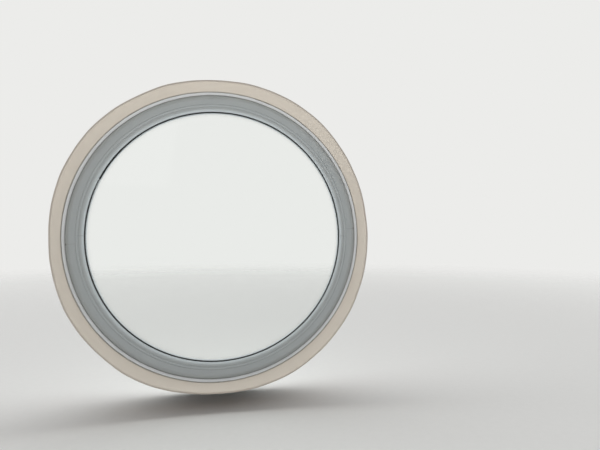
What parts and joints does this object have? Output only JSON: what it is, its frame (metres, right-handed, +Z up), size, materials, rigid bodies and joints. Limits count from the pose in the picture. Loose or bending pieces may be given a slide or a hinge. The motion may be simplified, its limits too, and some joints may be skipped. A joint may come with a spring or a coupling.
{
  "type": "round window",
  "caption": "Round fixed window: white hollow-profile frame with sealed double glazing, snap-in glazing bead, deep painted reveal lining, fixing fin and flat outer trim ring.",
  "frame": {"origin": "centre of the circle of fixing holes, in the plane of the fin's back face, which bears on the outer face of the wall", "axes": "+Y along the window's axis, outdoors; +X to the right as seen from the room; +Z up, with the drain slots at the bottom"},
  "size_m": [1.112, 0.1955, 1.112],
  "materials": {
    "frame_plastic": "smooth white extruded vinyl, satin",
    "fin_plastic": "flexible white vinyl strip, satin",
    "bead_plastic": "smooth white extruded vinyl, satin",
    "gasket_rubber": "matt black rubber",
    "clear_glass": "clear float glass, polished",
    "spacer_metal": "bright mill finish",
    "key_plastic": "moulded grey plastic",
    "desiccant": "fine pale beads",
    "butyl": "tacky black butyl",
    "edge_seal": "dull dark grey sealant",
    "lining_paint": "cream matt paint over a bent board",
    "white_sealant": "tooled white sealant, low sheen",
    "trim_plastic": "flat white foamed board, satin",
    "screw_steel": "zinc plated",
    "strap_steel": "galvanised",
    "packer_plastic": "moulded blue plastic",
    "cover_plastic": "moulded white plastic"
  },
  "bodies": {
    "root": {"frame_ring": "frame_plastic", "fixing_fin": "fin_plastic", "glazing_bead_upper": "bead_plastic", "glazing_bead_lower": "bead_plastic", "inner_gasket": "gasket_rubber", "outer_gasket": "gasket_rubber", "inner_pane": "clear_glass", "outer_pane": "clear_glass", "spacer_bar": "spacer_metal", "spacer_key": "key_plastic", "desiccant_fill": "desiccant", "inner_butyl_seal": "butyl", "outer_butyl_seal": "butyl", "edge_sealant": "edge_seal", "reveal_lining": "lining_paint", "reveal_sealant": "white_sealant", "outer_trim_ring": "trim_plastic", "trim_sealant": "white_sealant", "lining_screws": "screw_steel", "frame_screws": "screw_steel", "setting_packer_1": "packer_plastic", "setting_packer_2": "packer_plastic", "location_packer_1": "packer_plastic", "location_packer_2": "packer_plastic", "location_packer_3": "packer_plastic", "location_packer_4": "packer_plastic", "drain_cover_1": "cover_plastic", "drain_cover_2": "cover_plastic", "lining_strap_1": "strap_steel", "lining_strap_2": "strap_steel", "lining_strap_3": "strap_steel", "lining_strap_4": "strap_steel", "lining_strap_5": "strap_steel", "lining_strap_6": "strap_steel", "lining_strap_7": "strap_steel", "lining_strap_8": "strap_steel"}
  },
  "joints": []
}
